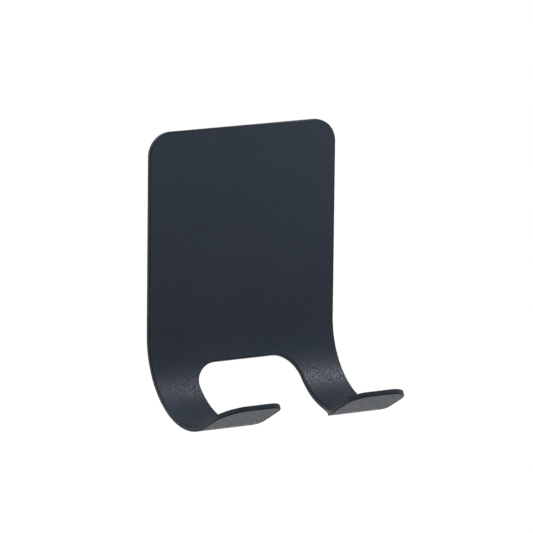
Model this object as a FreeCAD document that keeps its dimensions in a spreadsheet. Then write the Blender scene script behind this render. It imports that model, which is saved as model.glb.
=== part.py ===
import FreeCAD, Part
import math
import os
import Sketcher

# Wall-mounted holder for a hair dryer: one steel sheet, cut flat, bent once into a two-pronged
# hook and powder coated, stuck to the wall with a pad of double-sided foam tape.
#
# Frame: the wall is the plane Y = 0 and the holder stands out of it towards -Y. +Z is up and +X
# is to the right of someone who faces the wall. The origin is the centre of the tape pad's wall
# face, which is also level with the middle of the plate's flat part.

# Driving dimensions, in millimetres and degrees.
DIMENSIONS = [
    ("PlateWidth", 80.0, "width of the sheet, from side to side"),
    ("PlateHeight", 76.3, "flat part of the plate, from its top edge down to the bend"),
    ("SheetThickness", 2.0, "steel sheet with its powder coat"),
    ("PlateCorner", 9.0, "radius of the plate's two upper corners"),
    ("BendRadius", 28.0, "inside radius of the bend"),
    ("BendAngle", 118.9, "how far the prongs turn from straight down"),
    ("LipLength", 17.6, "straight end of each prong, past the bend"),
    ("LipOuterCorner", 9.6, "radius of each lip's corner on the outside of the holder"),
    ("LipInnerCorner", 6.0, "radius of each lip's corner beside the gap"),
    ("SlotWidth", 44.2, "gap between the prongs where the dryer's handle hangs"),
    ("SlotStart", 24.5, "angle round the bend at which the slot begins"),
    ("SlotCorner", 9.8, "radius of the slot's two upper corners"),
    ("LipGap", 29.4, "gap between the two lips, which keeps the handle from sliding out"),
    ("NeckStart", 7.0, "distance from the bend's axis back to where the slot starts to narrow"),
    ("NeckEnd", 16.0, "distance from the bend's axis forward to where it has narrowed"),
    ("EdgeRounding", 0.4, "rounding of the sheet's cut edges, on both faces"),
    ("TapeInset", 4.0, "how far the tape pad stays inside the edges of the flat plate"),
    ("TapeCorner", 6.0, "radius of the tape pad's corners"),
    ("FoamThickness", 0.8, "foam core of the tape"),
    ("FilmThickness", 0.1, "each of the tape's two adhesive films"),
]

# Lengths that several sub-parts share, as expressions on the sheet.
TAPE_THICKNESS = "(Sheet.FoamThickness + 2 * Sheet.FilmThickness)"
PLATE_TOP = "Sheet.PlateHeight / 2"
BEND_AXIS_Y = "-({} + Sheet.SheetThickness + Sheet.BendRadius)".format(TAPE_THICKNESS)
BEND_AXIS_Z = "-Sheet.PlateHeight / 2"

CUT_MARGIN = 1.0        # how far a cutting profile reaches past the sheet's two faces
SLOT_SWEEP = 40.0       # angle of bend that the upper part of the slot is cut through
NECK_OVERLAP = 18.0     # how far behind the bend's axis the lower part of the slot takes over
WALL_SHARE = 1.2        # a cut wall is narrower than this many thicknesses of the sheet
TINY = 1e-6


def dimension(name):
    """One driving dimension, for a sketch's first guess at a point."""
    return next(value for alias, value, note in DIMENSIONS if alias == name)


def add_sheet(doc):
    sheet = doc.addObject("Spreadsheet::Sheet", "Sheet")
    for row, (alias, value, note) in enumerate(DIMENSIONS, start=1):
        sheet.set("A{}".format(row), alias)
        sheet.set("B{}".format(row), str(value))
        sheet.set("C{}".format(row), note)
        sheet.setAlias("B{}".format(row), alias)
    doc.recompute()
    return sheet


def add_sketch(body, name, plane_role):
    sketch = body.newObject("Sketcher::SketchObject", name)
    plane = next(item for item in body.Origin.OriginFeatures if item.Role == plane_role)
    sketch.AttachmentSupport = [(plane, "")]
    sketch.MapMode = "FlatFace"
    return sketch


def line(start, end):
    return Part.LineSegment(FreeCAD.Vector(*start, 0), FreeCAD.Vector(*end, 0))


def arc(centre, radius, start_degrees, end_degrees):
    circle = Part.Circle(FreeCAD.Vector(*centre, 0), FreeCAD.Vector(0, 0, 1), radius)
    return Part.ArcOfCircle(circle, math.radians(start_degrees), math.radians(end_degrees))


def constrain(sketch, kind, *arguments, name=None, expression=None):
    """Adds one constraint; a dimension gets a name and follows an expression on the sheet."""
    index = sketch.addConstraint(Sketcher.Constraint(kind, *arguments))
    if name:
        sketch.renameConstraint(index, name)
    if expression:
        sketch.setExpression("Constraints.{}".format(name), expression)


def add_profile_sketch(body):
    """The bent sheet seen from its side: flat plate, one bend and the rising lip."""
    sketch = add_sketch(body, "SideProfile", "YZ_Plane")
    thickness = dimension("SheetThickness")
    radius = dimension("BendRadius")
    turn = math.radians(dimension("BendAngle"))
    lip = dimension("LipLength")
    top = dimension("PlateHeight") / 2
    back = -(dimension("FoamThickness") + 2 * dimension("FilmThickness"))
    front = back - thickness
    centre = (front - radius, -top)
    along = (-math.sin(turn), -math.cos(turn))

    def on_bend(distance, reach=0.0):
        return (centre[0] + distance * math.cos(turn) + reach * along[0],
                centre[1] - distance * math.sin(turn) + reach * along[1])

    degrees = dimension("BendAngle")
    outer = radius + thickness
    sketch.addGeometry([
        line((back, top), (front, top)),
        line((front, top), (front, -top)),
        arc(centre, radius, -degrees, 0.0),
        line(on_bend(radius), on_bend(radius, lip)),
        line(on_bend(radius, lip), on_bend(outer, lip)),
        line(on_bend(outer, lip), on_bend(outer)),
        arc(centre, outer, -degrees, 0.0),
        line((back, -top), (back, top)),
    ], False)
    top_edge, front_line, inner_arc, lip_inner, lip_end, lip_outer, outer_arc, back_line = range(8)
    start, end, middle = 1, 2, 3
    constrain(sketch, "Coincident", top_edge, end, front_line, start)
    constrain(sketch, "Tangent", front_line, end, inner_arc, end)
    constrain(sketch, "Tangent", inner_arc, start, lip_inner, start)
    constrain(sketch, "Coincident", lip_inner, end, lip_end, start)
    constrain(sketch, "Coincident", lip_end, end, lip_outer, start)
    constrain(sketch, "Tangent", lip_outer, end, outer_arc, start)
    constrain(sketch, "Tangent", outer_arc, end, back_line, start)
    constrain(sketch, "Coincident", back_line, end, top_edge, start)
    constrain(sketch, "Coincident", inner_arc, middle, outer_arc, middle)
    constrain(sketch, "Horizontal", top_edge)
    constrain(sketch, "Vertical", front_line)
    constrain(sketch, "Vertical", back_line)
    constrain(sketch, "Perpendicular", lip_inner, lip_end)
    constrain(sketch, "Parallel", lip_inner, lip_outer)
    constrain(sketch, "DistanceX", top_edge, end, top_edge, start, thickness,
              name="Thickness", expression="Sheet.SheetThickness")
    constrain(sketch, "DistanceY", front_line, end, front_line, start, 2 * top,
              name="PlateHeight", expression="Sheet.PlateHeight")
    constrain(sketch, "Radius", inner_arc, radius,
              name="BendRadius", expression="Sheet.BendRadius")
    constrain(sketch, "Distance", lip_inner, lip,
              name="LipLength", expression="Sheet.LipLength")
    constrain(sketch, "Angle", lip_inner, math.radians(270.0) - turn,
              name="LipAngle", expression="(270 - Sheet.BendAngle) * 1 deg")
    constrain(sketch, "DistanceX", top_edge, start, -1, 1, -back,
              name="WallGap", expression=TAPE_THICKNESS)
    constrain(sketch, "DistanceY", -1, 1, top_edge, start, top,
              name="PlateTop", expression=PLATE_TOP)
    return sketch


def add_slot_sketch(body):
    """Rectangle across the sheet, in the plane of the bend's axis that the slot starts at."""
    sketch = add_sketch(body, "SlotSection", "XY_Plane")
    sketch.AttachmentOffset = FreeCAD.Placement(
        FreeCAD.Vector(0, 0, 0),
        FreeCAD.Rotation(FreeCAD.Vector(-1, 0, 0), dimension("SlotStart")))
    sketch.setExpression(".AttachmentOffset.Base.y", BEND_AXIS_Y)
    sketch.setExpression(".AttachmentOffset.Base.z", BEND_AXIS_Z)
    sketch.setExpression(".AttachmentOffset.Rotation.Angle", "Sheet.SlotStart")
    half = dimension("SlotWidth") / 2
    near = dimension("BendRadius") - CUT_MARGIN
    far = dimension("BendRadius") + dimension("SheetThickness") + CUT_MARGIN
    add_rectangle(sketch, half, near, far)
    constrain(sketch, "DistanceX", 0, 1, 0, 2, 2 * half,
              name="Width", expression="Sheet.SlotWidth")
    constrain(sketch, "DistanceY", 1, 1, 1, 2, far - near,
              name="Depth", expression="Sheet.SheetThickness + 2 * {}".format(CUT_MARGIN))
    constrain(sketch, "DistanceY", -1, 1, 0, 1, near,
              name="Near", expression="Sheet.BendRadius - {}".format(CUT_MARGIN))
    return sketch


def add_rectangle(sketch, half_width, low, high):
    """Four joined lines, in the order bottom, right, top, left, centred across the sketch."""
    corners = [(-half_width, low), (half_width, low), (half_width, high), (-half_width, high)]
    for index in range(4):
        sketch.addGeometry(line(corners[index], corners[(index + 1) % 4]), False)
    for index in range(4):
        constrain(sketch, "Coincident", index, 2, (index + 1) % 4, 1)
    constrain(sketch, "Symmetric", 0, 1, 0, 2, -2)
    constrain(sketch, "Horizontal", 2)
    constrain(sketch, "Vertical", 1)
    constrain(sketch, "Vertical", 3)


def add_neck_sketch(body):
    """The lower part of the slot, seen from above: it narrows in two S-curves to the lips' gap."""
    sketch = add_sketch(body, "NeckOutline", "XY_Plane")
    sketch.AttachmentOffset = FreeCAD.Placement(FreeCAD.Vector(0, 0, 0), FreeCAD.Rotation())
    sketch.setExpression(".AttachmentOffset.Base.y", BEND_AXIS_Y)
    wide = dimension("SlotWidth") / 2
    narrow = dimension("LipGap") / 2
    back = dimension("NeckStart")
    front = -dimension("NeckEnd")
    run = back - front
    step = wide - narrow
    radius = (run ** 2 + step ** 2) / (4 * step)
    turn = math.degrees(math.asin(run / (2 * radius)))
    reach = -(dimension("BendRadius") + dimension("LipLength") + 2 * dimension("SheetThickness"))
    middle = ((wide + narrow) / 2, (back + front) / 2)
    # right half first, from the back to the front, then the left half on the way back
    sketch.addGeometry([
        line((wide, NECK_OVERLAP), (wide, back)),
        arc((wide - radius, back), radius, -turn, 0.0),
        arc((narrow + radius, front), radius, 180.0 - turn, 180.0),
        line((narrow, front), (narrow, reach)),
        line((narrow, reach), (-narrow, reach)),
        line((-narrow, reach), (-narrow, front)),
        arc((-narrow - radius, front), radius, 0.0, turn),
        arc((-wide + radius, back), radius, 180.0, 180.0 + turn),
        line((-wide, back), (-wide, NECK_OVERLAP)),
        line((-wide, NECK_OVERLAP), (wide, NECK_OVERLAP)),
    ], False)
    constrain(sketch, "Tangent", 0, 2, 1, 2)
    constrain(sketch, "Tangent", 1, 1, 2, 1)
    constrain(sketch, "Tangent", 2, 2, 3, 1)
    constrain(sketch, "Coincident", 3, 2, 4, 1)
    constrain(sketch, "Coincident", 4, 2, 5, 1)
    constrain(sketch, "Tangent", 5, 2, 6, 1)
    constrain(sketch, "Tangent", 6, 2, 7, 2)
    constrain(sketch, "Tangent", 7, 1, 8, 1)
    constrain(sketch, "Coincident", 8, 2, 9, 1)
    constrain(sketch, "Coincident", 9, 2, 0, 1)
    constrain(sketch, "Vertical", 0)
    constrain(sketch, "Vertical", 3)
    constrain(sketch, "Equal", 1, 2)
    constrain(sketch, "Equal", 6, 7)
    constrain(sketch, "Symmetric", 0, 1, 8, 2, -2)
    constrain(sketch, "Symmetric", 0, 2, 8, 1, -2)
    constrain(sketch, "Symmetric", 3, 1, 5, 2, -2)
    constrain(sketch, "Symmetric", 4, 1, 4, 2, -2)
    constrain(sketch, "DistanceX", 9, 1, 9, 2, 2 * wide,
              name="SlotWidth", expression="Sheet.SlotWidth")
    constrain(sketch, "DistanceX", 4, 2, 4, 1, 2 * narrow,
              name="LipGap", expression="Sheet.LipGap")
    constrain(sketch, "DistanceY", -1, 1, 0, 2, back,
              name="NeckStart", expression="Sheet.NeckStart")
    constrain(sketch, "DistanceY", 3, 1, -1, 1, -front,
              name="NeckEnd", expression="Sheet.NeckEnd")
    constrain(sketch, "DistanceY", -1, 1, 0, 1, NECK_OVERLAP,
              name="Overlap")
    constrain(sketch, "DistanceY", 3, 2, -1, 1, -reach, name="Reach",
              expression="Sheet.BendRadius + Sheet.LipLength + 2 * Sheet.SheetThickness")
    return sketch


def add_bent_sheet(body):
    """The side profile, carried across the full width."""
    pad = body.newObject("PartDesign::Pad", "BentSheet")
    pad.Profile = add_profile_sketch(body)
    pad.SideType = "Symmetric"
    pad.setExpression("Length", "Sheet.PlateWidth")
    return pad


def add_slot(body):
    """The upper part of the slot, turned about the bend's axis so that its walls stay square."""
    groove = body.newObject("PartDesign::Groove", "Slot")
    sketch = add_slot_sketch(body)
    groove.Profile = sketch
    groove.ReferenceAxis = (sketch, ["H_Axis"])
    groove.Reversed = True
    groove.Angle = SLOT_SWEEP
    return groove


def add_neck(body):
    """The lower part of the slot, cut straight through the bottom of the bend and the lips."""
    pocket = body.newObject("PartDesign::Pocket", "Neck")
    pocket.Profile = add_neck_sketch(body)
    pocket.Type = "ThroughAll"
    pocket.SideType = "Symmetric"
    return pocket


def corner_edges(shape, offset, upper):
    """Names of the edges across the sheet's thickness at X = +-offset, in its upper or lower half."""
    names = []
    for index, edge in enumerate(shape.Edges, start=1):
        box = edge.BoundBox
        at_offset = box.XLength < TINY and abs(abs(box.XMin) - offset) < TINY
        across = abs(edge.Length - dimension("SheetThickness")) < TINY
        if at_offset and across and (box.Center.z > 0) == upper:
            names.append("Edge{}".format(index))
    return names


def rim_edges(shape):
    """Names of the edges where the sheet's two faces meet its cut walls."""
    def is_wall(face):
        return 2 * face.Area / face.Length < WALL_SHARE * dimension("SheetThickness")

    names = []
    for index, edge in enumerate(shape.Edges, start=1):
        faces = shape.ancestorsOfType(edge, Part.Face)
        if len(faces) == 2 and is_wall(faces[0]) != is_wall(faces[1]):
            names.append("Edge{}".format(index))
    return names


def add_fillet(body, name, edges, radius):
    fillet = body.newObject("PartDesign::Fillet", name)
    fillet.Base = (fillet.BaseFeature, edges)
    fillet.setExpression("Radius", radius)
    body.Document.recompute()
    return fillet


def add_hook_plate(doc):
    """The bent sheet: plate, bend, two prongs and their lips, with every corner and rim rounded."""
    body = doc.addObject("PartDesign::Body", "hook_plate")
    add_bent_sheet(body)
    add_slot(body)
    add_neck(body)
    doc.recompute()
    side = dimension("PlateWidth") / 2
    corners = [
        ("PlateCorners", side, True, "Sheet.PlateCorner"),
        ("SlotCorners", dimension("SlotWidth") / 2, False, "Sheet.SlotCorner"),
        ("LipOuterCorners", side, False, "Sheet.LipOuterCorner"),
        ("LipInnerCorners", dimension("LipGap") / 2, False, "Sheet.LipInnerCorner"),
    ]
    for name, offset, upper, radius in corners:
        edges = corner_edges(body.Tip.Shape, offset, upper)
        if len(edges) != 2:
            raise RuntimeError("{} found {} edges, not 2".format(name, len(edges)))
        add_fillet(body, name, edges, radius)
    add_fillet(body, "RoundedRims", rim_edges(body.Tip.Shape), "Sheet.EdgeRounding")
    return body


def add_tape_outline(body):
    """Rectangle with four round corners, inset from the edges of the flat plate."""
    sketch = add_sketch(body, "Outline", "XZ_Plane")
    inset = dimension("TapeInset")
    corner = dimension("TapeCorner")
    side = dimension("PlateWidth") / 2 - inset
    top = dimension("PlateHeight") / 2 - inset
    sketch.addGeometry([
        line((corner - side, -top), (side - corner, -top)),
        arc((side - corner, corner - top), corner, -90.0, 0.0),
        line((side, corner - top), (side, top - corner)),
        arc((side - corner, top - corner), corner, 0.0, 90.0),
        line((side - corner, top), (corner - side, top)),
        arc((corner - side, top - corner), corner, 90.0, 180.0),
        line((-side, top - corner), (-side, corner - top)),
        arc((corner - side, corner - top), corner, 180.0, 270.0),
    ], False)
    for index in range(8):
        constrain(sketch, "Tangent", index, 2, (index + 1) % 8, 1)
    constrain(sketch, "Horizontal", 0)
    constrain(sketch, "Vertical", 2)
    for index in (3, 5, 7):
        constrain(sketch, "Equal", 1, index)
    constrain(sketch, "Symmetric", 1, 3, 5, 3, -1, 1)
    constrain(sketch, "Radius", 1, corner, name="Corner", expression="Sheet.TapeCorner")
    constrain(sketch, "DistanceX", 6, 1, 2, 1, 2 * side,
              name="Width", expression="Sheet.PlateWidth - 2 * Sheet.TapeInset")
    constrain(sketch, "DistanceY", 0, 1, 4, 1, 2 * top,
              name="Height", expression="Sheet.PlateHeight - 2 * Sheet.TapeInset")
    return sketch


def add_tape_layer(doc, name, thickness, distance):
    """One layer of the tape pad, whose back face is the given distance from the wall."""
    body = doc.addObject("PartDesign::Body", name)
    pad = body.newObject("PartDesign::Pad", "Layer")
    pad.Profile = add_tape_outline(body)
    pad.setExpression("Length", thickness)
    body.setExpression(".Placement.Base.y", "-({})".format(distance))
    return body


def add_tape(doc):
    """The pad of double-sided tape: an adhesive film on each side of a foam core."""
    film = "Sheet.FilmThickness"
    foam = "Sheet.FoamThickness"
    return [
        add_tape_layer(doc, "wall_side_adhesive", film, "0"),
        add_tape_layer(doc, "foam_tape_core", foam, film),
        add_tape_layer(doc, "plate_side_adhesive", film, "{} + {}".format(film, foam)),
    ]


def check_document(doc, nodes):
    """Stops the script if any feature failed or any node is not one valid solid."""
    for item in doc.Objects:
        if "Invalid" in item.State or "Error" in item.State:
            raise RuntimeError("{} is {}".format(item.Name, item.State))
    for node in nodes:
        shape = node.Shape
        if shape.isNull() or not shape.isValid() or len(shape.Solids) != 1:
            raise RuntimeError("{} is not one valid solid".format(node.Label))


def main():
    doc = FreeCAD.newDocument("hair_dryer_holder")
    add_sheet(doc)
    nodes = [add_hook_plate(doc)] + add_tape(doc)
    doc.recompute()
    check_document(doc, nodes)
    os.makedirs("parts", exist_ok=True)
    for node in nodes:
        node.Shape.exportStep("parts/{}.step".format(node.Label))
        box = node.Shape.optimalBoundingBox(False)
        low = [round(value, 2) for value in (box.XMin, box.YMin, box.ZMin)]
        high = [round(value, 2) for value in (box.XMax, box.YMax, box.ZMax)]
        faces = len(node.Shape.Faces)
        print("{}: {:.1f} mm3, {} faces, {} to {}".format(node.Label, node.Shape.Volume, faces, low, high))


main()
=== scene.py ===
import math

import bmesh
import bpy
from mathutils import Matrix, Vector, noise


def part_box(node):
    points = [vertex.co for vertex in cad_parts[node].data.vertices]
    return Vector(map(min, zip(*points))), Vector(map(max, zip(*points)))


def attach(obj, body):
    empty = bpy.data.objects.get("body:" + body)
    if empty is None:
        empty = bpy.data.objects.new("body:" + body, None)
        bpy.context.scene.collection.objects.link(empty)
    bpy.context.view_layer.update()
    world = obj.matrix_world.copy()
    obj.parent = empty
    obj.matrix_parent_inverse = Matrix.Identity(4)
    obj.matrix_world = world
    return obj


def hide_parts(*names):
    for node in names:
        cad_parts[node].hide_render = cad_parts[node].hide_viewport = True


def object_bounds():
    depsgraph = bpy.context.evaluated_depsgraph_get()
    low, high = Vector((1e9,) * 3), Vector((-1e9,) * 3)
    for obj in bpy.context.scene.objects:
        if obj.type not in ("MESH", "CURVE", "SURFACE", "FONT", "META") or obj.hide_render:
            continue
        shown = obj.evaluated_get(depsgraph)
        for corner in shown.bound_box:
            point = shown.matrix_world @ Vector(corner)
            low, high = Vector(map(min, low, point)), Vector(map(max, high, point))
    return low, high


# A hair dryer holder: one powder-coated sheet, bent into a forked hook, and the three layers of
# the tape pad that sticks it to the wall.

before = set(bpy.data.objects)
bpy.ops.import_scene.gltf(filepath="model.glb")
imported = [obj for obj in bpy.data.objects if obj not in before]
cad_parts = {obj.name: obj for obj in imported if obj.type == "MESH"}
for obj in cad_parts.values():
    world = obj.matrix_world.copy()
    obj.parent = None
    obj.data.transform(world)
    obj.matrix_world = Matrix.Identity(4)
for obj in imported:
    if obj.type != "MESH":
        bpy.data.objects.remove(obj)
cad_low, cad_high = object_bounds()

# Lengths in the sections on the holder are in millimetres and angles in degrees. Blender's own
# unit is the metre.
MM = 0.001

# The bent sheet. Its width, its top edge and its back face come from the hook plate in model.glb.
THICKNESS = 2.0
FLAT_HEIGHT = 76.3          # flat part of the plate, from the top edge down to the bend
BEND_RADIUS = 28.0          # inside radius
BEND_ANGLE = 118.9
LIP_LENGTH = 17.6           # straight end of each prong, past the bend
PLATE_CORNER = 9.0
LIP_OUTER_CORNER = 9.6
LIP_INNER_CORNER = 6.0
SLOT_WIDTH = 44.2
SLOT_START = 24.5           # angle round the bend
SLOT_CORNER = 9.8
LIP_GAP = 29.4
NECK_START = 7.0            # behind the bend's axis
NECK_END = 16.0             # in front of the bend's axis
EDGE_ROUNDING = 0.4

PLATE_SIDE, PLATE_BACK, PLATE_TOP = [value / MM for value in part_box("hook_plate")[1]]
MIDDLE_RADIUS = BEND_RADIUS + THICKNESS / 2
BEND_TURN = math.radians(BEND_ANGLE)
BEND_LENGTH = MIDDLE_RADIUS * BEND_TURN
BEND_AXIS = Vector((0.0, PLATE_BACK - THICKNESS - BEND_RADIUS, PLATE_TOP - FLAT_HEIGHT))
SHEET_LENGTH = FLAT_HEIGHT + BEND_LENGTH + LIP_LENGTH

# How finely the meshes are cut.
ARC_STEP = 4.0              # degrees of a corner's arc between two points of an outline
NECK_STEPS = 18
RIM_STEPS = 4               # steps round each of the rim's two roundings
RIM_BAND = 0.2              # a last ring lies this far inside the rounding, on each face
SIDE_RING = 0.8             # place of the edge's own two rings, from its middle to its roundings
BEND_STRIPS = 54
GRID = 4.0                  # spacing of the cuts along and across the flat parts
MERGE_DISTANCE = 1e-5
CUT_TOLERANCE = 0.01        # a cut takes a point this near as its own
FLAT_CLIMB = 0.9999         # past this share of the climb over the rounding, a point is on a face

# The tape pad's layers.
TAPE_CORNER = 6.0
FOAM_EDGE_STEP = 0.3        # spacing of the points along the foam's cut edge
FOAM_EDGE_RINGS = 7
FOAM_CELL = 0.42            # size of the foam's cells, which the cut edge opens
FOAM_PIT = 0.22             # depth of an opened cell
FOAM_PIT_SLOPE = 1.6        # how soon the pit ends, away from its middle
FILM_EDGE_STEP = 0.8
FILM_WAVE = 3.5             # length and depth of the waves in an adhesive film's edge
FILM_RETREAT = 0.25

# Nearly all the values of a noise texture lie between these two.
NOISE_LOW = 0.3
NOISE_HIGH = 0.7

# The powder coat. Colours here and below are linear red, green and blue.
COAT_GRAIN = 0.52           # width of the fine bumps, whose tops are the flecks that glint
COAT_GRAIN_DEPTH = 0.07
COAT_FLECK_SPAN = (0.40, 0.66)          # the grain's noise, from no fleck to the middle of one
COAT_PEEL = 1.8             # width of the orange peel's waves
COAT_PEEL_DEPTH = 0.030
COAT_DRIFT = 22.0           # width of the patches in which the colour drifts
COAT_DRIFT_MOST = 0.18
COAT_RUB_HIGHLIGHT = 1.1              # width of the rubbed spots along the rims, lighter as wear and as a painted highlight
COAT_RUB_HIGHLIGHT_MOST = 0.35
COAT_RUB_HIGHLIGHT_SPAN = (0.58, 0.76)            # the spots' noise, from none to the most wear and painted highlight
COAT_COLOUR = (0.0116, 0.0162, 0.0238)
COAT_FLECK_COLOUR = (0.0104, 0.0148, 0.0222)
COAT_DRIFT_COLOUR = (0.020, 0.026, 0.035)
# painted shade: a near-black colour laid over the rims' roundings
COAT_RIM_PAINTED_SHADE_COLOUR = (0.0012, 0.0018, 0.0028)
# rubbed spots on the rims: lighter as wear, and partly a painted highlight of the rounded edges
COAT_RUBBED_HIGHLIGHT_COLOUR = (0.045, 0.049, 0.055)
COAT_ROUGHNESS = 0.59
COAT_FLECK_ROUGHNESS = 0.35
COAT_GLOSS_TINT = (0.84, 0.92, 1.0)
COAT_IOR = 1.27

# The foam.
FOAM_GRAIN = 0.26           # width of the cells that show on its faces
FOAM_GRAIN_DEPTH = 0.08
FOAM_WALL_SPAN = (0.1, 0.7)             # distance from a cell's middle, from pore to wall
FOAM_SHADE = 6.0            # width of its faint yellowish patches
FOAM_SHADE_MOST = 0.25
FOAM_PORE_COLOUR = (0.50, 0.51, 0.52)
FOAM_COLOUR = (0.66, 0.67, 0.67)
FOAM_SHADE_COLOUR = (0.58, 0.57, 0.54)
FOAM_ROUGHNESS = (0.95, 0.78)           # in a cell's middle, and at the reach
FOAM_ROUGHNESS_REACH = 0.8

# The adhesive.
ADHESIVE_EMBOSS = 0.55      # width of the liner's fine pattern
ADHESIVE_EMBOSS_DEPTH = 0.02
ADHESIVE_CLOUD = 9.0        # width of the patches in which the colour drifts
ADHESIVE_BUBBLES = 2.6      # distance from one trapped bubble to the next
ADHESIVE_BUBBLE_SPAN = (0.10, 0.16)     # a bubble's full height and its rim, as shares of that
ADHESIVE_BUBBLE_DEPTH = 0.03
ADHESIVE_COLOURS = ((0.63, 0.63, 0.60), (0.69, 0.69, 0.66))
ADHESIVE_BUBBLE_COLOUR = (0.76, 0.76, 0.74)
ADHESIVE_ROUGHNESS = (0.22, 0.38)

# Camera, at the photograph's viewing angle, in degrees and metres.
VIEW_AZIMUTH = -30.63
VIEW_ELEVATION = 11.26
VIEW_ROLL = 0.64
VIEW_DISTANCE = 2.043
VIEW_TARGET = Vector((0.0075, -0.0079, -0.0151))
VIEW_REACH = 50.0           # the camera sees this far
LENS_LENGTH = 368.9         # millimetres, as the sensor's width
SENSOR_WIDTH = 36.0

# Studio, in metres and watts.
FLOOR_REACH = 6.0
FLOOR_DROP = 0.25
FLOOR_COLOUR = (0.90, 0.90, 0.90)
DOME_AT_HORIZON = 1.0
DOME_AT_TOP = 0.10
TOP_LIGHT_FROM = Vector((-0.25, 0.42, 0.87))
TOP_LIGHT_SPREAD = 30.0     # degrees
TOP_LIGHT_STRENGTH = 2.6
KEY_PLACE = Vector((-0.15, -0.07, 0.13))
KEY_TARGET = Vector((-0.03, 0.0, 0.02))
KEY_SIZE = 0.08
KEY_POWER = 0.24
ACCENT_PLACE = Vector((0.122, -0.052, 0.120))
ACCENT_TARGET = Vector((0.01, -0.015, -0.058))
ACCENT_SIZE = 0.05
ACCENT_POWER = 0.38


def arc_points(centre, radius, start, end):
    """Points along an arc of a corner, both ends included."""
    steps = round(abs(end - start) / ARC_STEP)
    points = []
    for index in range(steps + 1):
        angle = math.radians(start + (end - start) * index / steps)
        points.append((centre[0] + radius * math.cos(angle), centre[1] + radius * math.sin(angle)))
    return points


def unrolled(depth):
    """Distance down the flat blank of the place that lies this far behind the bend's axis."""
    bend_end = MIDDLE_RADIUS * math.cos(BEND_TURN)
    if depth > bend_end:
        return FLAT_HEIGHT + MIDDLE_RADIUS * math.acos(depth / MIDDLE_RADIUS)
    return FLAT_HEIGHT + BEND_LENGTH + (bend_end - depth) / math.sin(BEND_TURN)


def neck_points():
    """The slot's edge where it widens, from the lips' gap up to the slot, in two equal arcs."""
    wide = SLOT_WIDTH / 2
    narrow = LIP_GAP / 2
    run = NECK_START + NECK_END
    step = wide - narrow
    radius = (run ** 2 + step ** 2) / (4 * step)
    points = []
    for index in range(NECK_STEPS + 1):
        travel = run * index / NECK_STEPS
        if travel < run / 2:
            across = narrow + radius - math.sqrt(radius ** 2 - travel ** 2)
        else:
            across = wide - radius + math.sqrt(radius ** 2 - (run - travel) ** 2)
        points.append((across, unrolled(travel - NECK_END)))
    return points


def blank_outline():
    """The flat blank: distance across and distance down from the top edge, once round."""
    side = PLATE_SIDE
    gap = LIP_GAP / 2
    slot = SLOT_WIDTH / 2
    slot_top = FLAT_HEIGHT + MIDDLE_RADIUS * math.radians(SLOT_START)
    lip_end = SHEET_LENGTH
    half = arc_points((side - PLATE_CORNER, PLATE_CORNER), PLATE_CORNER, -90, 0)
    half += arc_points((side - LIP_OUTER_CORNER, lip_end - LIP_OUTER_CORNER), LIP_OUTER_CORNER, 0, 90)
    half += arc_points((gap + LIP_INNER_CORNER, lip_end - LIP_INNER_CORNER), LIP_INNER_CORNER, 90, 180)
    half += neck_points()
    half += arc_points((slot - SLOT_CORNER, slot_top + SLOT_CORNER), SLOT_CORNER, 0, -90)
    return half + [(-across, down) for across, down in reversed(half)]


def rounded_rectangle(low, high, radius):
    """Outline of a rectangle with four round corners, once round."""
    points = []
    corners = [(high[0] - radius, low[1] + radius, -90), (high[0] - radius, high[1] - radius, 0),
               (low[0] + radius, high[1] - radius, 90), (low[0] + radius, low[1] + radius, 180)]
    for across, along, start in corners:
        points += arc_points((across, along), radius, start, start + 90)
    return points


def refined(outline, spacing):
    """The outline with more points on its long runs."""
    points = []
    for index, start in enumerate(outline):
        end = outline[(index + 1) % len(outline)]
        pieces = max(1, round(math.dist(start, end) / spacing))
        for part in range(pieces):
            share = part / pieces
            points.append((start[0] + (end[0] - start[0]) * share, start[1] + (end[1] - start[1]) * share))
    return points


def outward_directions(outline):
    """Unit vector out of an anticlockwise outline at each of its points."""
    count = len(outline)
    sides = []
    for index in range(count):
        along = Vector(outline[(index + 1) % count]) - Vector(outline[index])
        sides.append(Vector((along.y, -along.x)).normalized())
    return [(sides[index - 1] + sides[index]).normalized() for index in range(count)]


def rim_rings(thickness, rounding):
    """(inset, height, rim) of the rings from the back face round the edge to the front face. Rim
    is 1 halfway round each rounding and 0 on the faces and along the middle of the edge."""
    half = thickness / 2
    rings = [(0.0, (half - rounding) * SIDE_RING, 0.0)]
    for step in range(RIM_STEPS + 1):
        angle = math.pi / 2 * step / RIM_STEPS
        inset = rounding * (1 - math.cos(angle))
        height = half - rounding * (1 - math.sin(angle))
        rings.append((inset, height, 0.5 + 0.5 * math.sin(2 * angle)))
    rings.append((rounding + RIM_BAND, half, 0.0))
    return [(inset, -height, rim) for inset, height, rim in reversed(rings)] + rings


def build_slab(outline, rings, retreat=None):
    """A closed bmesh of an anticlockwise outline in the XY plane, with the given rings from low to
    high Z. retreat(point, height) is how much further in a point of the edge lies."""
    bm = bmesh.new()
    rim_layer = bm.verts.layers.float.new("rim")
    directions = outward_directions(outline)
    loops = []
    for inset, height, rim in rings:
        loop = []
        for point, direction in zip(outline, directions):
            extra = retreat(point, height) if retreat else 0.0
            place = Vector(point) - direction * (inset + extra)
            vert = bm.verts.new((place.x, place.y, height))
            vert[rim_layer] = rim
            loop.append(vert)
        loops.append(loop)
    count = len(outline)
    for lower, upper in zip(loops, loops[1:]):
        for index in range(count):
            after = (index + 1) % count
            bm.faces.new((lower[index], lower[after], upper[after], upper[index]))
    bm.faces.new(loops[-1])
    bm.faces.new(reversed(loops[0]))
    # where an edge is rounded all the way through, its two middle rings are one
    bmesh.ops.remove_doubles(bm, verts=bm.verts, dist=MERGE_DISTANCE)
    return bm


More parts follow.
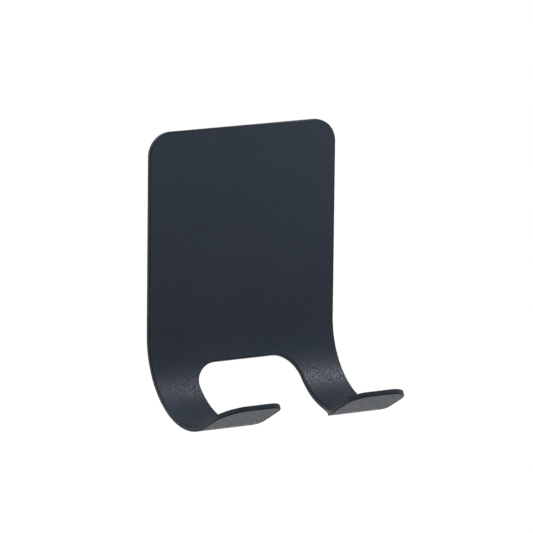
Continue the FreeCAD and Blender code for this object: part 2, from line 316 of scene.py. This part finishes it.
def cut_across(bm, axis, places):
    """Cuts every face of the mesh where it crosses the given places along an axis, 0 for X and
    1 for Y."""
    direction = Vector((0, 0, 0))
    direction[axis] = 1.0
    for place in places:
        bmesh.ops.bisect_plane(bm, geom=bm.verts[:] + bm.edges[:] + bm.faces[:], dist=CUT_TOLERANCE,
                               plane_co=direction * place, plane_no=direction)


def add_piece(name, bm, normals, material):
    """Turns a bmesh in millimetres into a piece of the holder, with smooth shading. Normals are
    those of its vertices, or None to leave them to the mesh."""
    bmesh.ops.scale(bm, vec=(MM, MM, MM), verts=bm.verts)
    mesh = bpy.data.meshes.new(name)
    bm.to_mesh(mesh)
    bm.free()
    mesh.shade_smooth()
    if normals:
        mesh.normals_split_custom_set_from_vertices(normals)
    mesh.materials.append(material)
    piece = bpy.data.objects.new(name, mesh)
    bpy.context.scene.collection.objects.link(piece)
    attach(piece, "root")
    return piece


def blank_normal(vert):
    """Surface normal of the flat blank at a vertex: upright on a face, turning over the rim."""
    half = THICKNESS / 2
    side = math.copysign(1.0, vert.co.z)
    climb = min(max((abs(vert.co.z) - half + EDGE_ROUNDING) / EDGE_ROUNDING, 0.0), 1.0)
    if climb > FLAT_CLIMB:
        return Vector((0.0, 0.0, side))
    outward = Vector((vert.normal.x, vert.normal.y, 0.0)).normalized()
    return outward * math.sqrt(1 - climb ** 2) + Vector((0.0, 0.0, side * climb))


def bent(point, normal):
    """Where a point of the flat blank goes when the sheet is bent, and its normal there. The
    blank's Z is the height above the middle of the sheet, towards the inside of the bend."""
    across, down, height = point
    turn = min(max(down - FLAT_HEIGHT, 0.0) / MIDDLE_RADIUS, BEND_TURN)
    straight = down - FLAT_HEIGHT - MIDDLE_RADIUS * turn
    along = Vector((0.0, -math.sin(turn), -math.cos(turn)))
    inward = Vector((0.0, -math.cos(turn), math.sin(turn)))
    place = BEND_AXIS - inward * (MIDDLE_RADIUS - height) + along * straight
    place.x = across
    facing = along * normal.y + inward * normal.z
    facing.x = normal.x
    return place, facing


def add_hook_plate(material):
    """The holder's sheet: cut flat, its rim rounded, then bent into the forked hook."""
    bm = build_slab(blank_outline(), rim_rings(THICKNESS, EDGE_ROUNDING))
    rows = [GRID * index for index in range(1, round(FLAT_HEIGHT / GRID))]
    rows += [FLAT_HEIGHT + BEND_LENGTH * index / BEND_STRIPS for index in range(BEND_STRIPS + 1)]
    rows += [FLAT_HEIGHT + BEND_LENGTH + GRID * index for index in range(1, int(LIP_LENGTH / GRID))]
    columns = [GRID * index for index in range(-int(PLATE_SIDE / GRID), int(PLATE_SIDE / GRID) + 1)]
    cut_across(bm, 1, rows)
    cut_across(bm, 0, columns)
    bm.normal_update()
    placed = [bent(vert.co, blank_normal(vert)) for vert in bm.verts]
    for vert, (place, facing) in zip(bm.verts, placed):
        vert.co = place
    bmesh.ops.reverse_faces(bm, faces=bm.faces)
    piece = add_piece("hook_plate_sheet", bm, [facing for place, facing in placed], material)
    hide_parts("hook_plate")


def tape_outline(node):
    """The outline of one layer of the tape, in the wall's plane, and where it starts and ends
    along Y."""
    low, high = [[value / MM for value in corner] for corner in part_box(node)]
    outline = rounded_rectangle((low[0], low[2]), (high[0], high[2]), TAPE_CORNER)
    return outline, low[1], high[1]


def stand_up(bm, middle):
    """Turns a flat layer so that its height runs out from the wall, with its middle at this Y."""
    for vert in bm.verts:
        across, along, height = vert.co
        vert.co = (across, middle - height, along)


def foam_pit(point, height):
    """Depth of the opened foam cell at a point of the cut edge."""
    place = Vector((point[0], point[1], height)) / FOAM_CELL
    nearest = noise.voronoi(place)[0][0]
    return FOAM_PIT * max(0.0, 1.0 - FOAM_PIT_SLOPE * nearest)


def film_edge(point, height):
    """How far an adhesive film has drawn back from the cut edge, which is the same at any height."""
    place = Vector((point[0], point[1], 0.0)) / FILM_WAVE
    return FILM_RETREAT * (0.5 + 0.5 * noise.noise(place))


def add_foam_core(material):
    """The tape's foam, with the cells that the knife opened along its edge."""
    outline, front, back = tape_outline("foam_tape_core")
    half = (back - front) / 2
    rings = [(RIM_BAND, -half, 0.0)]
    for index in range(FOAM_EDGE_RINGS):
        rings.append((0.0, -half + 2 * half * index / (FOAM_EDGE_RINGS - 1), 1.0))
    rings.append((RIM_BAND, half, 0.0))
    bm = build_slab(refined(outline, FOAM_EDGE_STEP), rings, foam_pit)
    stand_up(bm, (front + back) / 2)
    piece = add_piece("foam_core", bm, None, material)
    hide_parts("foam_tape_core")


def add_film(node, material):
    """One adhesive film of the tape, with a slightly uneven edge."""
    outline, front, back = tape_outline(node)
    thickness = back - front
    bm = build_slab(refined(outline, FILM_EDGE_STEP), rim_rings(thickness, thickness / 2), film_edge)
    stand_up(bm, (front + back) / 2)
    piece = add_piece(node + "_film", bm, None, material)
    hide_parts(node)


def new_material(name):
    """A material with its node tree and its shader."""
    material = bpy.data.materials.new(name)
    material.use_nodes = True
    tree = material.node_tree
    return material, tree, tree.nodes["Principled BSDF"]


def add_node(tree, kind, inputs):
    """A shader node with some of its inputs set, or linked where the value is a socket."""
    node = tree.nodes.new(kind)
    for name, value in inputs.items():
        if isinstance(value, bpy.types.NodeSocket):
            tree.links.new(value, node.inputs[name])
        else:
            node.inputs[name].default_value = value
    return node


def place_socket(tree):
    """The place on the object, in metres."""
    return tree.nodes.new("ShaderNodeTexCoord").outputs["Object"]


def noise_socket(tree, place, size, detail=2.0, rough=0.5):
    """Noise whose blotches are about this many millimetres wide."""
    inputs = {"Vector": place, "Scale": 1 / (size * MM), "Detail": detail, "Roughness": rough}
    return add_node(tree, "ShaderNodeTexNoise", inputs).outputs["Fac"]


def range_socket(tree, value, low, high, to_low, to_high):
    """The value, with low to high stretched to to_low to to_high."""
    inputs = {"Value": value, "From Min": low, "From Max": high, "To Min": to_low, "To Max": to_high}
    return add_node(tree, "ShaderNodeMapRange", inputs).outputs["Result"]


def mix_socket(tree, factor, first, second):
    """A colour between two colours."""
    node = tree.nodes.new("ShaderNodeMix")
    node.data_type = "RGBA"
    tree.links.new(factor, node.inputs["Factor"])
    # the node's colour sockets come after its number and vector ones, which share their names
    for socket, value in ((node.inputs[6], first), (node.inputs[7], second)):
        if isinstance(value, bpy.types.NodeSocket):
            tree.links.new(value, socket)
        else:
            socket.default_value = (*value, 1.0)
    return node.outputs[2]


def product_socket(tree, first, second):
    """One value times another."""
    node = tree.nodes.new("ShaderNodeMath")
    node.operation = "MULTIPLY"
    tree.links.new(first, node.inputs[0])
    tree.links.new(second, node.inputs[1])
    return node.outputs[0]


def cell_socket(tree, place, size):
    """Distance from the middle of the nearest of many cells, about this many millimetres wide."""
    inputs = {"Vector": place, "Scale": 1 / (size * MM)}
    return add_node(tree, "ShaderNodeTexVoronoi", inputs).outputs["Distance"]


def bump_socket(tree, height, depth, normal=None):
    """A bumped normal, where the full height stands for this many millimetres."""
    inputs = {"Height": height, "Distance": depth * MM, "Strength": 1.0}
    if normal:
        inputs["Normal"] = normal
    return add_node(tree, "ShaderNodeBump", inputs).outputs["Normal"]


def attribute_socket(tree, name):
    """A value that the mesh carries at its vertices."""
    node = tree.nodes.new("ShaderNodeAttribute")
    node.attribute_name = name
    return node.outputs["Fac"]


def powder_coat_material():
    """Charcoal powder coat: fine grain over a soft orange peel, painted shade on the rims, and rubbed
    spots there, lighter as wear and as a painted highlight. The grain's tops are smoother, so that they
    glint."""
    material, tree, shader = new_material("powder_coat")
    place = place_socket(tree)
    grain = noise_socket(tree, place, COAT_GRAIN, detail=0.5)
    peel = noise_socket(tree, place, COAT_PEEL, detail=1.0)
    patches = noise_socket(tree, place, COAT_DRIFT, detail=2.0)
    spots = noise_socket(tree, place, COAT_RUB_HIGHLIGHT, detail=4.0, rough=0.7)
    fleck = range_socket(tree, grain, *COAT_FLECK_SPAN, 0.0, 1.0)
    drift = range_socket(tree, patches, NOISE_LOW, NOISE_HIGH, 0.0, COAT_DRIFT_MOST)
    rubbed_highlight = range_socket(tree, spots, *COAT_RUB_HIGHLIGHT_SPAN, 0.0, COAT_RUB_HIGHLIGHT_MOST)
    coat = mix_socket(tree, fleck, COAT_COLOUR, COAT_FLECK_COLOUR)
    coat = mix_socket(tree, drift, coat, COAT_DRIFT_COLOUR)
    rim = attribute_socket(tree, "rim")
    # painted shade: the rims darken towards near black
    colour = mix_socket(tree, rim, coat, COAT_RIM_PAINTED_SHADE_COLOUR)
    # rubbed spots on the rims, lighter as wear and partly as a painted highlight
    colour = mix_socket(tree, product_socket(tree, rim, rubbed_highlight), colour, COAT_RUBBED_HIGHLIGHT_COLOUR)
    roughness = range_socket(tree, fleck, 0.0, 1.0, COAT_ROUGHNESS, COAT_FLECK_ROUGHNESS)
    normal = bump_socket(tree, peel, COAT_PEEL_DEPTH)
    normal = bump_socket(tree, grain, COAT_GRAIN_DEPTH, normal)
    tree.links.new(colour, shader.inputs["Base Color"])
    tree.links.new(roughness, shader.inputs["Roughness"])
    tree.links.new(normal, shader.inputs["Normal"])
    shader.inputs["Specular Tint"].default_value = (*COAT_GLOSS_TINT, 1.0)
    shader.inputs["IOR"].default_value = COAT_IOR
    return material


def foam_material():
    """Pale grey closed-cell foam."""
    material, tree, shader = new_material("foam")
    place = place_socket(tree)
    cells = cell_socket(tree, place, FOAM_GRAIN)
    patches = noise_socket(tree, place, FOAM_SHADE)
    wall = range_socket(tree, cells, *FOAM_WALL_SPAN, 0.0, 1.0)
    shade = range_socket(tree, patches, NOISE_LOW, NOISE_HIGH, 0.0, FOAM_SHADE_MOST)
    roughness = range_socket(tree, cells, 0.0, FOAM_ROUGHNESS_REACH, *FOAM_ROUGHNESS)
    colour = mix_socket(tree, wall, FOAM_PORE_COLOUR, FOAM_COLOUR)
    colour = mix_socket(tree, shade, colour, FOAM_SHADE_COLOUR)
    tree.links.new(colour, shader.inputs["Base Color"])
    tree.links.new(roughness, shader.inputs["Roughness"])
    tree.links.new(bump_socket(tree, cells, FOAM_GRAIN_DEPTH), shader.inputs["Normal"])
    return material


def adhesive_material():
    """Acrylic adhesive, the colour of the pale foam that shows through it: glossy, finely
    embossed by its liner, with small trapped bubbles."""
    material, tree, shader = new_material("adhesive")
    place = place_socket(tree)
    emboss = noise_socket(tree, place, ADHESIVE_EMBOSS, detail=1.0)
    clouds = noise_socket(tree, place, ADHESIVE_CLOUD, detail=3.0)
    cells = cell_socket(tree, place, ADHESIVE_BUBBLES)
    cloud = range_socket(tree, clouds, NOISE_LOW, NOISE_HIGH, 0.0, 1.0)
    bubble = range_socket(tree, cells, *ADHESIVE_BUBBLE_SPAN, 1.0, 0.0)
    roughness = range_socket(tree, emboss, NOISE_LOW, NOISE_HIGH, *ADHESIVE_ROUGHNESS)
    colour = mix_socket(tree, cloud, *ADHESIVE_COLOURS)
    colour = mix_socket(tree, bubble, colour, ADHESIVE_BUBBLE_COLOUR)
    normal = bump_socket(tree, emboss, ADHESIVE_EMBOSS_DEPTH)
    normal = bump_socket(tree, bubble, ADHESIVE_BUBBLE_DEPTH, normal)
    tree.links.new(colour, shader.inputs["Base Color"])
    tree.links.new(roughness, shader.inputs["Roughness"])
    tree.links.new(normal, shader.inputs["Normal"])
    return material


def floor_material():
    """Plain pale studio floor."""
    material, _, shader = new_material("studio_floor")
    shader.inputs["Base Color"].default_value = (*FLOOR_COLOUR, 1.0)
    shader.inputs["Roughness"].default_value = 1.0
    shader.inputs["Specular IOR Level"].default_value = 0.0
    return material


def add_floor():
    """A wide level floor, some way below the holder."""
    height = cad_low[2] - FLOOR_DROP
    corners = [(-FLOOR_REACH, -FLOOR_REACH), (FLOOR_REACH, -FLOOR_REACH),
               (FLOOR_REACH, FLOOR_REACH), (-FLOOR_REACH, FLOOR_REACH)]
    mesh = bpy.data.meshes.new("floor")
    mesh.from_pydata([(across, along, height) for across, along in corners], [], [(0, 1, 2, 3)])
    mesh.materials.append(floor_material())
    floor = bpy.data.objects.new("floor", mesh)
    bpy.context.scene.collection.objects.link(floor)


def add_camera():
    """The camera, at its distance from the target along the viewing angle."""
    azimuth = math.radians(VIEW_AZIMUTH)
    elevation = math.radians(VIEW_ELEVATION)
    back = Vector((math.sin(azimuth) * math.cos(elevation),
                   -math.cos(azimuth) * math.cos(elevation),
                   math.sin(elevation)))
    right = Vector((math.cos(azimuth), math.sin(azimuth), 0.0))
    up = back.cross(right)
    axes = Matrix((right, up, back)).transposed().to_4x4()
    roll = Matrix.Rotation(math.radians(VIEW_ROLL), 4, "Z")
    data = bpy.data.cameras.new("camera")
    data.lens = LENS_LENGTH
    data.sensor_width = SENSOR_WIDTH
    data.clip_end = VIEW_REACH
    camera = bpy.data.objects.new("camera", data)
    camera.matrix_world = Matrix.Translation(VIEW_TARGET + back * VIEW_DISTANCE) @ axes @ roll
    bpy.context.scene.collection.objects.link(camera)
    bpy.context.scene.camera = camera


def add_softbox(name, location, target, size, power):
    """A soft square light that faces a target, which the camera doesn't see."""
    data = bpy.data.lights.new(name, "AREA")
    data.energy = power
    data.shape = "SQUARE"
    data.size = size
    light = bpy.data.objects.new(name, data)
    facing = (target - location).to_track_quat("-Z", "Y").to_matrix().to_4x4()
    light.matrix_world = Matrix.Translation(location) @ facing
    light.visible_camera = False
    bpy.context.scene.collection.objects.link(light)


def add_top_light(strength):
    """The broad, distant light overhead, which also makes the floor white."""
    data = bpy.data.lights.new("top", "SUN")
    data.energy = strength
    data.angle = math.radians(TOP_LIGHT_SPREAD)
    light = bpy.data.objects.new("top", data)
    light.matrix_world = TOP_LIGHT_FROM.to_track_quat("Z", "Y").to_matrix().to_4x4()
    bpy.context.scene.collection.objects.link(light)


def add_world(horizon, zenith):
    """A white dome that darkens from the horizon to the top."""
    world = bpy.data.worlds.new("studio")
    world.use_nodes = True
    tree = world.node_tree
    direction = tree.nodes.new("ShaderNodeTexCoord").outputs["Generated"]
    height = add_node(tree, "ShaderNodeSeparateXYZ", {"Vector": direction}).outputs["Z"]
    strength = range_socket(tree, height, 0.0, 1.0, horizon, zenith)
    background = tree.nodes["Background"]
    background.inputs["Color"].default_value = (1.0, 1.0, 1.0, 1.0)
    tree.links.new(strength, background.inputs["Strength"])
    bpy.context.scene.world = world


def add_studio():
    """Floor, white surround and lights. The key brightens the plate's upper left, and the accent
    makes the coat's flecks glint in the bends."""
    add_floor()
    add_world(DOME_AT_HORIZON, DOME_AT_TOP)
    add_softbox("key", KEY_PLACE, KEY_TARGET, KEY_SIZE, KEY_POWER)
    add_top_light(TOP_LIGHT_STRENGTH)
    add_softbox("accent", ACCENT_PLACE, ACCENT_TARGET, ACCENT_SIZE, ACCENT_POWER)
    bpy.context.scene.view_settings.view_transform = "Standard"


def add_holder():
    """The holder's four pieces."""
    adhesive = adhesive_material()
    add_hook_plate(powder_coat_material())
    add_foam_core(foam_material())
    add_film("plate_side_adhesive", adhesive)
    add_film("wall_side_adhesive", adhesive)


add_camera()
add_holder()
add_studio()
